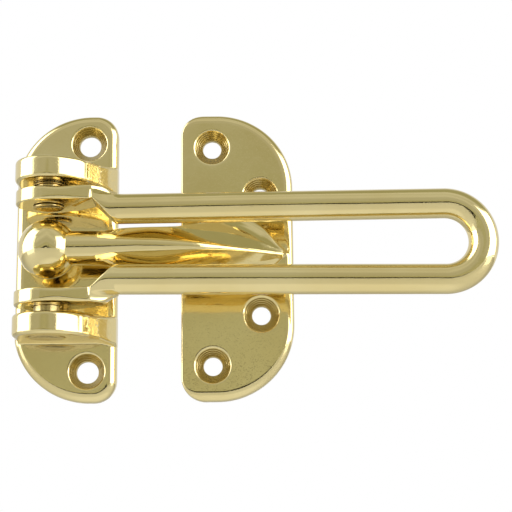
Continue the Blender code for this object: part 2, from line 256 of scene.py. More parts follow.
class BrassFinish(bpy.types.PropertyGroup):
    """Colours and surface of the polished brass."""

    light: colour("Light brass", "The paler tone of the plating", (0.840, 0.715, 0.380))
    deep: colour("Deep brass", "The warmer tone of the plating", (0.800, 0.665, 0.330))
    patch: colour("Cast patch", "Warmer tone where the lugs are rough as cast", (0.760, 0.560, 0.180))
    patch_depth: length("Patch depth", "Depth of the rough bumps there", 0.00022)
    patch_width: length("Patch width", "Half width of the patch, before its ragged edge", 0.0010)
    patch_edge: length("Patch edge", "Width over which the patch fades out", 0.0003)
    patch_ragged: length("Patch raggedness", "How far the patch's edge wanders", 0.0006)
    patch_foot: length("Patch foot", "Height of the patch's foot in front of the wall", 0.0090)
    # Painted shade: the countersinks' cones are coloured a darker brass than the plate
    sink_painted_shade: colour("Countersink brass", "Darker tone in the turned countersinks", (0.580, 0.460, 0.190))
    turned: colour("Turned brass", "Tone of the pins", (0.620, 0.500, 0.240))
    turned_shade: share("Turned shade", "What is left of that tone where it is darkest", 0.8)
    stamped: colour("Stamped brass", "Tone of the washers", (0.480, 0.370, 0.160))
    polish: share("Polish", "Roughness of the polished castings", 0.050)
    turned_polish: share("Turned polish", "Roughness of the turned pins", 0.120)
    stamped_polish: share("Stamped polish", "Roughness of the stamped washers", 0.25)
    sink_haze: share("Countersink haze", "Extra roughness in the countersinks", 0.10)
    ripple: length("Ripple", "Depth of the casting's slow ripple", 0.00005)
    pits: length("Pits", "Depth of the small casting pits", 0.000005)
    streak_depth: length("Streak depth", "Depth of the polishing streaks along the rods", 0.000014)
    ring_pitch: length("Ring pitch", "Spacing of the turned rings in the countersinks", 0.00042)
    ring_depth: length("Ring depth", "Depth of those rings", 0.000012)
    face_pitch: length("Face pitch", "Spacing of the turned rings on the pins' and washers' faces", 0.00035)
    groove_pitch: length("Groove pitch", "Spacing of the turned grooves along the pins", 0.00030)
    groove_depth: length("Groove depth", "Depth of the rings and grooves on pins and washers", 0.000004)


class StudioSettings(bpy.types.PropertyGroup):
    """Floor, background, lights and camera."""

    # The floor's colours hold a painted pool of light in front of the guard and painted shade behind it
    floor: colour("Floor", "Colour of the plain floor", (0.80, 0.80, 0.81))
    far_floor: colour("Far floor", "Colour of the floor away from the guard", (0.66, 0.66, 0.66))
    behind: share("Behind", "Share of the floor's brightness that is left behind the guard", 0.72)
    floor_half: length("Floor size", "Half the width of the floor", 1.5)
    floor_drop: length("Floor drop", "How far the floor lies below the middle of the guard", 0.16)
    light_pool_front: length("Tone front", "How far in front of the wall the floor's own colour is centred", 0.05)
    light_pool_near: length("Tone near", "Distance from there at which the colour starts to change", 0.08)
    light_pool_far: length("Tone far", "Distance at which it has become the far floor's", 0.15)
    shade_start: length("Shade start", "How far behind the wall the floor starts to darken", 0.02)
    shade_end: length("Shade end", "How far behind the wall it is darkest", 0.22)
    backdrop: share("Backdrop", "Brightness of the background", 1.0, 4.0)
    room: share("Room", "Brightness of the room that the brass mirrors", 1.0, 4.0)
    sides: share("Sides", "Brightness of the side windows", 3.2, 8.0)
    side_boxes: power("Side boxes", "Power of each side softbox", 0.5)
    top_box: power("Top box", "Power of the top softbox", 0.02)
    camera_distance: length("Camera distance", "From the camera to the point that it is turned about", 0.374)
    lens: bpy.props.FloatProperty(name="Lens", description="Focal length, in millimetres", default=102.2,
                                  min=1.0, subtype="DISTANCE_CAMERA")


# Distances: every function takes x, z and h (height in front of the wall) and is negative inside

def join(a, b, fillet):
    """Union of two solids with a round fillet between them."""
    corner = np.hypot(np.maximum(fillet - a, 0), np.maximum(fillet - b, 0))
    return np.maximum(fillet, np.minimum(a, b)) - corner


def common(a, b, edge):
    """What two solids have in common, with a round edge where their surfaces cross."""
    return np.minimum(-edge, np.maximum(a, b)) + np.hypot(np.maximum(edge + a, 0), np.maximum(edge + b, 0))


def ramp(value, low, high):
    """Smooth step from 0 at low to 1 at high."""
    t = np.clip((value - low) / (high - low), 0, 1)
    return t * t * (3 - 2 * t)


def polygon(px, py, corners):
    """Distance to the outline of a polygon in a plane."""
    nearest = np.full(np.broadcast(px, py).shape, np.inf)
    inside = np.zeros(nearest.shape, bool)
    for (ax, ay), (bx, by) in zip(corners, corners[1:] + corners[:1]):
        ex, ey = bx - ax, by - ay
        t = np.clip(((px - ax) * ex + (py - ay) * ey) / (ex * ex + ey * ey), 0, 1)
        nearest = np.minimum(nearest, np.hypot(px - ax - t * ex, py - ay - t * ey))
        crosses = ((ay > py) != (by > py)) & (px < ex * (py - ay) / (ey if ey else 1.0) + ax)
        inside ^= crosses
    return np.where(inside, -nearest, nearest)


def half_moon(u, z, width, arc_offset, corner):
    """Plate outline: straight edge at u = 0, small corners beside it, and large arcs to the outer edge."""
    sizes = bpy.context.scene.guard_plates
    top = DOOR_PLATE_HIGH.z
    q = np.abs(z)
    straight = np.maximum(np.maximum(-u, u - width), q - top)
    small = np.hypot(u - corner, q - top + corner) - corner
    arc_z = top - sizes.big_arc
    large = np.maximum(np.hypot(u - arc_offset, q - arc_z) - sizes.big_arc, u - width)
    outline = np.where((u < corner) & (q > top - corner), small, straight)
    return np.where((u > arc_offset) & (q > arc_z), large, outline)


def plate(outline, h, edge_round):
    """A plate with a rounded front edge, still open towards the wall."""
    return common(outline, h - bpy.context.scene.guard_plates.thickness, edge_round)


def flat_back(solid, h):
    """Cuts a solid off flat where it lies against the wall."""
    return common(solid, -h, bpy.context.scene.guard_plates.back_round)


def drill(solid, x, z, h, holes, hole_radius):
    """Cuts the countersunk holes, two for each place in the list."""
    sizes = bpy.context.scene.guard_plates
    slope = (sizes.sink_radius - hole_radius) / sizes.sink_depth
    for hole_x, hole_z in holes:
        reach = np.hypot(x - hole_x, np.abs(z) - hole_z)
        rise = np.minimum(h, sizes.thickness + sizes.sink_overrun) - (sizes.thickness - sizes.sink_depth)
        cone = (reach - hole_radius - rise * slope) / math.hypot(1, slope)
        solid = common(solid, -np.minimum(reach - hole_radius, cone), sizes.sink_edge)
    return solid


def slab(z, low, high):
    """Two layers, one above and one below the middle."""
    return np.abs(np.abs(z) - (low + high) / 2) - (high - low) / 2


def lug_side_view(x, h):
    """Side view of a lug: upright back, round over the pin, a flatter shoulder, then a straight ramp."""
    sizes = bpy.context.scene.guard_hinge
    r, big = sizes.lug_radius, sizes.shoulder_radius
    start, end = sizes.shoulder_start, sizes.shoulder_end
    shoulder_x = (r - big) * math.sin(start)
    shoulder_h = PIN_HEIGHT + (r - big) * math.cos(start)
    ramp_side = (x - shoulder_x) * math.sin(end) + (h - shoulder_h) * math.cos(end) - big
    turned_by = np.arctan2(x - shoulder_x, h - shoulder_h)
    side = np.where(turned_by > end, ramp_side, np.hypot(x - shoulder_x, h - shoulder_h) - big)
    side = np.where(turned_by < start, np.hypot(x, h - PIN_HEIGHT) - r, side)
    side = np.where((h < PIN_HEIGHT) & (x < 0), -x - r, side)
    hollow = sizes.notch_depth * np.exp(-((x - sizes.notch_place) / sizes.notch_width) ** 2)
    return side + hollow


def frame_plate_shape(x, z, h):
    """The frame plate with its lugs, their bores and the recesses for the pins' heads."""
    plates = bpy.context.scene.guard_plates
    hinge = bpy.context.scene.guard_hinge
    width = FRAME_PLATE_HIGH.x - FRAME_PLATE_LOW.x
    outline = half_moon(FRAME_PLATE_HIGH.x - x, z, width, plates.frame_arc_offset, plates.frame_corner)
    body = plate(outline, h, plates.edge_round)
    flare = hinge.lug_flare * ramp(x, hinge.notch_place, FRAME_PLATE_HIGH.x)
    walls = slab(z, hinge.lug_inner, hinge.lug_outer) - flare
    lug = common(lug_side_view(x, h), walls, hinge.lug_rim)
    lug = common(lug, x - FRAME_PLATE_HIGH.x, plates.back_round)
    body = flat_back(join(body, lug, hinge.lug_fillet), h)
    reach = np.hypot(x, h - PIN_HEIGHT)
    bore = np.maximum(reach - hinge.bore, plates.thickness + hinge.bore_end - h)
    recess = np.maximum(reach - hinge.head_bore, hinge.head_floor - np.abs(z))
    body = common(body, -bore, plates.hole_edge)
    body = common(body, -recess, plates.hole_edge)
    return drill(body, x, z, h, FRAME_HOLES, plates.frame_hole)


def eye_side_view(x, h):
    """Side view of an eye: round over the pin, a straight strip beside it, then a slope down to the rod."""
    hinge = bpy.context.scene.guard_hinge
    bar = bpy.context.scene.guard_bar
    r = hinge.eye_radius
    rod_low = bar.rod_height - bar.rod_radius
    eye = np.hypot(x, h - PIN_HEIGHT) - r
    heel_x, heel_drop = r * math.cos(hinge.heel_angle), r * math.sin(hinge.heel_angle)
    strip = polygon(x, h, [(-hinge.strip_start, PIN_HEIGHT + r), (hinge.step_x, PIN_HEIGHT + r),
                           (hinge.slope_end, hinge.slope_low), (hinge.slope_end, rod_low),
                           (hinge.heel_end, rod_low), (heel_x, PIN_HEIGHT - heel_drop),
                           (-hinge.strip_start, PIN_HEIGHT)])
    return np.minimum(eye, strip)


def rod_middle(x):
    """Height of the upper rod's centre line above the middle of the guard; it bends out to the eye."""
    bar = bpy.context.scene.guard_bar
    straight = bar.start_z + (bar.end_z - bar.start_z) * (x - bar.start_x) / (bar.end_x - bar.start_x)
    return straight + bar.bend * np.clip((bar.bend_start - x) / (bar.bend_start - bar.bend_full), 0, 1) ** 2


def eye_shape(x, q, h):
    """An eye with its strip: the rims are fullest beside the pin and fine at both ends."""
    hinge = bpy.context.scene.guard_hinge
    rod_out = rod_middle(x) + bpy.context.scene.guard_bar.rod_radius
    outer = hinge.eye_outer - (hinge.eye_outer - rod_out) * ramp(x, hinge.taper_start, hinge.slope_end)
    fullness = np.exp(-((x - hinge.rim_place) / hinge.rim_spread) ** 2)
    rim = hinge.eye_rim + (hinge.full_rim - hinge.eye_rim) * fullness
    eye = common(eye_side_view(x, h), q - outer, rim)
    return common(eye, hinge.eye_inner - q, rim * hinge.inner_rim)


def neck_web(x, z, h):
    """The web that fills each neck, from the eye's strip to the rod."""
    hinge = bpy.context.scene.guard_hinge
    bar = bpy.context.scene.guard_bar
    rod_back = bar.rod_height - bar.rod_radius
    side = polygon(x, h, [(hinge.step_x, PIN_HEIGHT + hinge.eye_radius),
                          (bar.web_shoulder, bar.rod_height + bar.web_rise), (bar.web_end, bar.rod_height),
                          (hinge.heel_end, rod_back + bar.web_heel), (bar.web_start, bar.web_back),
                          (bar.web_start, PIN_HEIGHT)])
    return np.maximum(side, slab(z, bar.web_inner, bar.web_outer))


def swing_bar_shape(x, z, h):
    """The loop, its two necks with their slanted inner walls, and the bored eyes."""
    hinge = bpy.context.scene.guard_hinge
    bar = bpy.context.scene.guard_bar
    q = np.abs(z)
    end_round = np.abs(np.hypot(x - bar.end_x, q) - bar.end_z)
    rods = np.where(x > bar.end_x, end_round, np.abs(q - rod_middle(x)))
    loop = np.hypot(rods, h - bar.rod_height) - bar.rod_radius
    rod = np.where(x < bar.start_x, np.maximum(loop, hinge.step_x - x), loop)
    neck = join(eye_shape(x, q, h), rod, hinge.neck_fillet)
    neck = join(neck, neck_web(x, z, h), hinge.neck_fillet)
    slant = (x - hinge.jog_start) * hinge.jog_slope
    inner_wall = hinge.eye_inner - np.maximum(slant, 0)
    steep = np.where(slant > 0, math.hypot(1, hinge.jog_slope), 1.0)
    neck = common(neck, (inner_wall - q) / steep, hinge.jog_edge)
    body = np.where(x > bar.neck_end, loop, neck)
    bore = np.hypot(x, h - PIN_HEIGHT) - hinge.bore
    return common(body, -bore, bpy.context.scene.guard_plates.hole_edge)


# Stations along the arm: x; top, crest radius, flank angle in degrees, half width to the crease in the flank;
# half width, underside and foot radius
ARM_STATIONS = np.array([
    (-0.0100, 0.01830, 0.00435, 86, 0.0052, 0.00440, 0.00960, 0.00420),
    (0.0045, 0.01830, 0.00435, 86, 0.0052, 0.00440, 0.00960, 0.00420),
    (0.0105, 0.01830, 0.00430, 82, 0.0053, 0.00440, 0.00960, 0.00420),
    (0.0145, 0.01830, 0.00405, 66, 0.0055, 0.00460, 0.00950, 0.00400),
    (0.0180, 0.01830, 0.00350, 48, 0.0056, 0.00495, 0.00930, 0.00370),
    (0.0220, 0.01825, 0.00300, 40, 0.0056, 0.00515, 0.00870, 0.00350),
    (0.0260, 0.01805, 0.00280, 37, 0.0055, 0.00525, 0.00730, 0.00340),
    (0.0300, 0.01770, 0.00255, 37, 0.0053, 0.00545, 0.00520, 0.00330),
    (0.0340, 0.01700, 0.00225, 37, 0.0050, 0.00610, 0.00250, 0.00330),
    (0.0380, 0.01590, 0.00190, 37, 0.0047, 0.00720, 0.00050, 0.00300),
    (0.0420, 0.01430, 0.00155, 34, 0.0045, 0.00800, 0.00000, 0.00300),
    (0.0470, 0.01200, 0.00120, 30, 0.0041, 0.00820, 0.00000, 0.00300),
    (0.0520, 0.00910, 0.00090, 28, 0.0031, 0.00680, 0.00000, 0.00250),
    (0.0570, 0.00590, 0.00060, 28, 0.0017, 0.00380, 0.00000, 0.00150),
    (0.0610, 0.00370, 0.00040, 30, 0.0006, 0.00140, 0.00000, 0.00060),
    (0.0640, 0.00180, 0.00030, 32, 0.0003, 0.00060, 0.00000, 0.00040),
])

# The curves between the stations are kept from passing below these
LEAST_ROUND = 0.0002
LEAST_HALF = 0.0003


def station_curves():
    """Natural cubic splines through the stations, as (knots, coefficients) for a fast lookup."""
    knots, values = ARM_STATIONS[:, 0], ARM_STATIONS[:, 1:]
    gaps = np.diff(knots)
    count = len(knots)
    system = np.eye(count)
    rights = np.zeros((count, values.shape[1]))
    slopes = np.diff(values, axis=0) / gaps[:, None]
    for i in range(1, count - 1):
        system[i, i - 1:i + 2] = gaps[i - 1], 2 * (gaps[i - 1] + gaps[i]), gaps[i]
        rights[i] = 6 * (slopes[i] - slopes[i - 1])
    return np.linalg.solve(system, rights)


ARM_BENDS = station_curves()


def arm_section(x):
    """The columns of the stations, at x."""
    knots, values = ARM_STATIONS[:, 0], ARM_STATIONS[:, 1:]
    at = np.clip(x, knots[0], knots[-1])
    i = np.clip(np.searchsorted(knots, at) - 1, 0, len(knots) - 2)
    gap = knots[i + 1] - knots[i]
    a, b = (knots[i + 1] - at) / gap, (at - knots[i]) / gap
    rows = []
    for column in range(values.shape[1]):
        y, m = values[:, column], ARM_BENDS[:, column]
        rows.append(a * y[i] + b * y[i + 1] + ((a**3 - a) * m[i] + (b**3 - b) * m[i + 1]) * gap**2 / 6)
    return rows


def arm_shape(x, z, h):
    """The arm is a round stem that turns into a ridge whose creased flanks spread out on the plate."""
    arm = bpy.context.scene.guard_arm
    top, crest, lean, crease, half, under, foot = arm_section(x)
    crest, half = np.maximum(crest, LEAST_ROUND), np.maximum(half, LEAST_HALF)
    foot = np.clip(foot, LEAST_ROUND, half)
    lean = np.radians(lean)
    side, rise = np.abs(z), h - top + crest
    flank = side * np.sin(lean) + rise * np.cos(lean) - crest
    ridge = np.where(np.arctan2(side, rise) < lean, np.hypot(side, rise) - crest, flank)
    skirt_lean = np.maximum(lean, arm.skirt_angle)
    crease_rise = (crest - crease * np.sin(lean)) / np.cos(lean)
    skirt = (side - crease) * np.sin(skirt_lean) + (rise - crease_rise) * np.cos(skirt_lean)
    below = under + foot - h
    body = np.hypot(np.maximum(side - half + foot, 0), np.maximum(below, 0)) - foot
    body = np.where((side < half - foot) & (below < 0), side - half, body)
    return common(np.maximum(ridge, skirt), body, arm.flank_edge)


def door_plate_shape(x, z, h):
    """The door plate with its arm and ball."""
    plates = bpy.context.scene.guard_plates
    arm = bpy.context.scene.guard_arm
    u = x - plates.door_edge
    width = DOOR_PLATE_HIGH.x - plates.door_edge
    outline = half_moon(u, z, width, plates.door_arc_offset, plates.door_corner)
    rounder = (plates.edge_round - plates.straight_edge_round) * ramp(u, 0.0, plates.door_corner)
    body = plate(outline, h, plates.straight_edge_round + rounder)
    stem = np.maximum(arm_shape(x, z, h), np.abs(x - arm.end / 2) - arm.end / 2)
    growth = ramp(x, arm.root_start, arm.root_full) * (1 - ramp(x, arm.root_fade, arm.root_end))
    fillet = arm.stem_fillet + (arm.root_fillet - arm.stem_fillet) * growth
    body = flat_back(join(body, stem, fillet), h)
    ball = np.sqrt(x * x + z * z + (h - PIN_HEIGHT) ** 2) - arm.ball_radius
    body = join(body, ball, arm.ball_crease)
    return drill(body, x, z, h, DOOR_HOLES, plates.door_hole)


# Meshing

def crossings(values, cell, start):
    """One point for each grid cell that the surface crosses, and the quads between them (surface nets)."""
    inside = values < 0
    corners = [(i, j, k) for i in (0, 1) for j in (0, 1) for k in (0, 1)]
    nx, ny, nz = (n - 1 for n in values.shape)

    def shifted(array, corner):
        i, j, k = corner
        return array[i:i + nx, j:j + ny, k:k + nz]

    filled = sum(shifted(inside, corner).astype(np.uint8) for corner in corners)
    mixed = (filled > 0) & (filled < 8)
    index = np.full(mixed.shape, -1, np.int64)
    index[mixed] = np.arange(np.count_nonzero(mixed))
    at_corner = {corner: shifted(values, corner)[mixed] for corner in corners}
    total = np.zeros((len(at_corner[corners[0]]), 3))
    hits = np.zeros(len(total))
    for corner in corners:
        for axis in range(3):
            if corner[axis]:
                continue
            other = tuple(c + (n == axis) for n, c in enumerate(corner))
            a, b = at_corner[corner], at_corner[other]
            crossed = (a < 0) != (b < 0)
            place = np.tile(np.array(corner, float), (np.count_nonzero(crossed), 1))
            place[:, axis] += a[crossed] / (a[crossed] - b[crossed])
            total[crossed] += place
            hits[crossed] += 1
    points = start + (np.argwhere(mixed) + total / hits[:, None]) * cell
    quads = []
    for axis in range(3):
        order = (axis, (axis + 1) % 3, (axis + 2) % 3)
        turned, numbers = inside.transpose(order), index.transpose(order)
        lower, upper = turned[:-1, 1:-1, 1:-1], turned[1:, 1:-1, 1:-1]
        i, j, k = np.nonzero(lower != upper)
        ring = np.stack([numbers[i, j, k], numbers[i, j + 1, k], numbers[i, j + 1, k + 1],
                         numbers[i, j, k + 1]], 1)
        outward = lower[i, j, k]
        quads += [ring[outward], ring[~outward][:, ::-1]]
    return points, np.concatenate(quads)


def slope_of(shape, points, step):
    """Gradient of a distance function at the points."""
    slope = np.zeros_like(points)
    for axis in range(3):
        shift = np.zeros(3)
        shift[axis] = step
        slope[:, axis] = (shape(*(points + shift).T) - shape(*(points - shift).T)) / (2 * step)
    return slope


def settle(points, shape, cell, rounds):
    """Moves points onto the surface, each step along the steepest way and no longer than a cell."""
    for _ in range(rounds):
        slope = slope_of(shape, points, cell / 20)
        steep = np.maximum((slope ** 2).sum(1), 0.05)
        step = slope * (shape(*points.T) / steep)[:, None]
        size = np.linalg.norm(step, axis=1, keepdims=True)
        points = points - step * np.minimum(1, cell / np.maximum(size, 1e-12))
    return points


def even_out(points, quads, weight):
    """Moves each point part of the way to the middle of its neighbours."""
    pairs = np.concatenate([quads[:, [0, 1]], quads[:, [1, 2]], quads[:, [2, 3]], quads[:, [3, 0]]])
    count = np.bincount(pairs[:, 0], minlength=len(points)) + np.bincount(pairs[:, 1], minlength=len(points))
    middle = np.zeros_like(points)
    for axis in range(3):
        middle[:, axis] = (np.bincount(pairs[:, 0], points[pairs[:, 1], axis], len(points))
                           + np.bincount(pairs[:, 1], points[pairs[:, 0], axis], len(points)))
    return points + (middle / count[:, None] - points) * weight


def casting(name, shape, low, high):
    """A mesh object of the surface where shape is zero; low and high bound it in the row frame."""
    detail = bpy.context.scene.guard_detail
    cell = detail.cell * 1.0
    margin = 3 * cell
    start = np.array([low.x, low.z, -high.y]) - margin
    end = np.array([high.x, high.z, -low.y]) + margin
    axes = [np.arange(a, b, cell) for a, b in zip(start, end)]
    values = shape(axes[0][:, None, None], axes[1][None, :, None], axes[2][None, None, :])
    points, quads = crossings(np.broadcast_to(values, [len(a) for a in axes]), cell, start)
    points = settle(points, shape, cell, 2)
    for _ in range(2):
        points = settle(even_out(points, quads, detail.evening), shape, cell, 1)
    points = settle(points, shape, cell, 3)
    mesh = bpy.data.meshes.new(name)
    world = np.stack([points[:, 0], -points[:, 2], points[:, 1]], 1)
    mesh.from_pydata(world.tolist(), [], quads.tolist())
    mesh.validate()
    mesh.shade_smooth()
    obj = bpy.data.objects.new(name, mesh)
    bpy.context.scene.collection.objects.link(obj)
    return obj


def turned(name, profile, sign, closed=False):
    """A profile of (radius, height along the pin) turned about the hinge line, above or below the middle."""
    mesh = bpy.data.meshes.new(name)
    edges = [(i, i + 1) for i in range(len(profile) - 1)]
    if closed:
        edges.append((len(profile) - 1, 0))
    mesh.from_pydata([(r, 0.0, z) for r, z in profile], edges, [])
    obj = bpy.data.objects.new(name, mesh)
    bpy.context.scene.collection.objects.link(obj)
    obj.matrix_world = (Matrix.Translation((0.0, -PIN_HEIGHT, 0.0))
                        @ Matrix.Rotation(0.0 if sign > 0 else math.pi, 4, "X"))
    detail = bpy.context.scene.guard_detail
    screw = obj.modifiers.new("Turned", "SCREW")
    screw.axis = "Z"
    screw.steps = screw.render_steps = detail.turned_steps
    screw.use_merge_vertices = True
    screw.merge_threshold = 0.000001
    bevel = obj.modifiers.new("Broken edges", "BEVEL")
    bevel.width = detail.broken_edge
    bevel.segments = 3
    bevel.limit_method = "ANGLE"
    bevel.angle_limit = detail.broken_angle
    bpy.context.view_layer.update()
    made = bpy.data.meshes.new_from_object(obj.evaluated_get(bpy.context.evaluated_depsgraph_get()))
    made.transform(obj.matrix_world)
    obj.modifiers.clear()
    obj.data = made
    obj.matrix_world = Matrix.Identity(4)
    bpy.data.meshes.remove(mesh)
    made.shade_smooth()
    made.set_sharp_from_angle(angle=detail.crisp_angle)
    return obj


# Brass

# How many grains of each noise there are in a metre
TONE_GRAIN = 55.0
RIPPLE_GRAIN = 150.0
HAZE_GRAIN = 420.0
FINE_GRAIN = 900.0
PATCH_GRAIN = 1300.0
PIT_GRAIN = 2600.0
# How many times longer than they are wide the polishing streaks are drawn
STREAK_STRETCH = 50.0
# The countersinks' finish and painted shade fade out over these steps inside their edge, and between these
# depths at the back
SINK_FADE = (0.0003, 0.0001)
BACK_FADE = (-0.0004, -0.0002)


def node(tree, kind, values=None, **settings):
    """A node with its settings, and its inputs set by name or number or linked from a socket."""
    made = tree.nodes.new(kind)
    for key, value in settings.items():
        setattr(made, key, value)
    for key, value in (values or {}).items():
        if isinstance(value, bpy.types.NodeSocket):
            tree.links.new(value, made.inputs[key])
        else:
            made.inputs[key].default_value = value
    return made


def maths(tree, operation, *values):
    """The result of one operation on numbers and sockets."""
    made = node(tree, "ShaderNodeMath", dict(enumerate(values)), operation=operation)
    return made.outputs[0]


def noise(tree, place, scale, detail, distortion=0.0):
    """A noise from 0 to 1 over the coordinates in place."""
    values = {"Vector": place, "Scale": scale, "Detail": detail, "Distortion": distortion}
    return node(tree, "ShaderNodeTexNoise", values).outputs["Fac"]


def spread(tree, value, low, high, to_low, to_high):
    """A value carried from one range to another and kept within it."""
    values = {"Value": value, "From Min": low, "From Max": high, "To Min": to_low, "To Max": to_high}
    return node(tree, "ShaderNodeMapRange", values).outputs["Result"]


def blend(tree, amount, a, b):
    """Colour a where amount is 0 and colour b where it is 1; each is a socket or three numbers."""
    values = {"Factor": amount}
    for key, tint in (("A", a), ("B", b)):
        values[key] = tint if isinstance(tint, bpy.types.NodeSocket) else (*tint, 1.0)
    return node(tree, "ShaderNodeMix", values, data_type="RGBA").outputs["Result"]


def surface(tree, shader, tint, rough, height):
    """Feeds a colour, a roughness and a height in metres to a shader."""
    bump = node(tree, "ShaderNodeBump", {"Height": height, "Strength": 1.0, "Distance": 1.0})
    for socket, name in ((tint, "Base Color"), (rough, "Roughness"), (bump.outputs["Normal"], "Normal")):
        tree.links.new(socket, shader.inputs[name])


def new_brass(name):
    """An empty metal material: (material, tree, shader, object coordinates)."""
    material = bpy.data.materials.new(name)
    material.use_nodes = True
    tree = material.node_tree
    shader = tree.nodes["Principled BSDF"]
    shader.inputs["Metallic"].default_value = 1.0
    place = tree.nodes.new("ShaderNodeTexCoord").outputs["Object"]
    return material, tree, shader, place


def ring_marks(tree, place, holes):
    """Height of the fine turned rings inside the countersinks, and how much of them, of their haze and of
    their painted shade shows at a point.
    """
    plates = bpy.context.scene.guard_plates
    finish = bpy.context.scene.guard_brass
    split = node(tree, "ShaderNodeSeparateXYZ", {0: place})
    x, z = split.outputs["X"], maths(tree, "ABSOLUTE", split.outputs["Z"])
    nearest = None
    for hole_x, hole_z in holes:
        across = maths(tree, "POWER", maths(tree, "SUBTRACT", x, hole_x), 2.0)
        up = maths(tree, "POWER", maths(tree, "SUBTRACT", z, hole_z), 2.0)
        reach = maths(tree, "SQRT", maths(tree, "ADD", across, up))
        nearest = reach if nearest is None else maths(tree, "MINIMUM", nearest, reach)
    wave = maths(tree, "SINE", maths(tree, "MULTIPLY", nearest, 2 * math.pi / finish.ring_pitch))
    fade_from, fade_to = (plates.sink_radius - step for step in SINK_FADE)
    inside = spread(tree, nearest, fade_from, fade_to, 1.0, 0.0)
    off_the_back = spread(tree, split.outputs["Y"], *BACK_FADE, 1.0, 0.0)
    return wave, maths(tree, "MULTIPLY", inside, off_the_back)


def cast_patch(tree, place):
    """Bumps where the lugs were left rough as cast, on each ramp, and how much of them shows at a point."""
    hinge = bpy.context.scene.guard_hinge
    finish = bpy.context.scene.guard_brass
    split = node(tree, "ShaderNodeSeparateXYZ", {0: place})
    wander = finish.patch_ragged
    ragged = spread(tree, noise(tree, place, FINE_GRAIN, 3.0), 0.3, 0.7, -wander, wander)
    along = maths(tree, "ABSOLUTE", maths(tree, "SUBTRACT", split.outputs["X"], hinge.notch_place))
    inside = spread(tree, maths(tree, "ADD", along, ragged), finish.patch_width,
                    finish.patch_width + finish.patch_edge, 1.0, 0.0)
    raised = spread(tree, split.outputs["Y"], -finish.patch_foot - 0.0010, -finish.patch_foot, 1.0, 0.0)
    return noise(tree, place, PATCH_GRAIN, 4.0), maths(tree, "MULTIPLY", inside, raised)


def streaks(tree, place):
    """Fine polishing streaks that run along the rods."""
    drawn_out = node(tree, "ShaderNodeVectorMath", {0: place, 1: (1 / STREAK_STRETCH, 1.0, 1.0)},
                     operation="MULTIPLY")
    return noise(tree, drawn_out.outputs["Vector"], FINE_GRAIN, 3.0)


def cast_brass(name, holes=(), lugs=False, polished_along=False):
    """Polished brass casting: two tones, a slow ripple, fine pits, and turned rings with painted shade in the
    countersinks.
    """
    finish = bpy.context.scene.guard_brass
    material, tree, shader, place = new_brass(name)
    tone = spread(tree, noise(tree, place, TONE_GRAIN, 4.0), 0.35, 0.65, 0.0, 1.0)
    tint = blend(tree, tone, finish.light, finish.deep)
    haze = noise(tree, place, HAZE_GRAIN, 6.0)
    rough = spread(tree, haze, 0.35, 0.75, finish.polish, finish.polish * 2.2)
    ripple = noise(tree, place, RIPPLE_GRAIN, 2.0, 0.3)
    pits = spread(tree, noise(tree, place, PIT_GRAIN, 3.0), 0.30, 0.42, 0.0, 1.0)
    height = maths(tree, "ADD", maths(tree, "MULTIPLY", ripple, finish.ripple),
                   maths(tree, "MULTIPLY", pits, finish.pits))
    if holes:
        wave, inside = ring_marks(tree, place, holes)
        rings = maths(tree, "MULTIPLY", maths(tree, "MULTIPLY", wave, inside), finish.ring_depth)
        height = maths(tree, "ADD", height, rings)
        rough = maths(tree, "ADD", rough, maths(tree, "MULTIPLY", inside, finish.sink_haze))
        # Painted shade: the countersinks' cones get this darker colour
        tint = blend(tree, inside, tint, finish.sink_painted_shade)
    if polished_along:
        drawn = maths(tree, "MULTIPLY", streaks(tree, place), finish.streak_depth)
        height = maths(tree, "ADD", height, drawn)
    if lugs:
        bumps, inside = cast_patch(tree, place)
        rough_cast = maths(tree, "MULTIPLY", maths(tree, "MULTIPLY", bumps, inside), finish.patch_depth)
        height = maths(tree, "ADD", height, rough_cast)
        tint = blend(tree, inside, tint, finish.patch)
    surface(tree, shader, tint, rough, height)
    return material


def turned_brass(name, tint, roughness):
    """Lathe-turned brass: fine rings about the hinge line and a slight change of tone."""
    finish = bpy.context.scene.guard_brass
    material, tree, shader, place = new_brass(name)
    split = node(tree, "ShaderNodeSeparateXYZ", {0: place})
    out = maths(tree, "ADD", split.outputs["Y"], PIN_HEIGHT)
    reach = maths(tree, "SQRT", maths(tree, "ADD", maths(tree, "POWER", split.outputs["X"], 2.0),
                                      maths(tree, "POWER", out, 2.0)))
    rings = maths(tree, "SINE", maths(tree, "MULTIPLY", reach, 2 * math.pi / finish.face_pitch))
    along = split.outputs["Z"]
    grooves = maths(tree, "SINE", maths(tree, "MULTIPLY", along, 2 * math.pi / finish.groove_pitch))
    height = maths(tree, "MULTIPLY", maths(tree, "ADD", rings, grooves), finish.groove_depth)
    haze = noise(tree, place, FINE_GRAIN, 4.0)
    tone = blend(tree, haze, tint, [c * finish.turned_shade for c in tint])
    rough = spread(tree, haze, 0.3, 0.7, roughness * 0.8, roughness * 1.4)
    surface(tree, shader, tone, rough, height)
    return material


def finish_piece(obj, material, body, replaced):
    """Gives a piece its material and body, and hides the CAD node that it stands for."""
    obj.data.materials.clear()
    obj.data.materials.append(material)
    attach(obj, body)
    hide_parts(replaced)


class GUARD_OT_frame_plate(bpy.types.Operator):
    """Build the frame plate with its two lugs"""

    bl_idname = "guard.frame_plate"
    bl_label = "Frame Plate"

    def execute(self, context):
        obj = casting("cast_frame_plate", frame_plate_shape, FRAME_PLATE_LOW, FRAME_PLATE_HIGH)
        material = cast_brass("frame plate brass", FRAME_HOLES, lugs=True)
        finish_piece(obj, material, "frame", "frame_plate")
        return {"FINISHED"}


class GUARD_OT_swing_bar(bpy.types.Operator):
    """Build the swing bar: two eyes, two necks and the loop"""

    bl_idname = "guard.swing_bar"
    bl_label = "Swing Bar"

    def execute(self, context):
        obj = casting("cast_swing_bar", swing_bar_shape, BAR_LOW, BAR_HIGH)
        material = cast_brass("swing bar brass", polished_along=True)
        finish_piece(obj, material, "bar", "swing_bar")
        return {"FINISHED"}


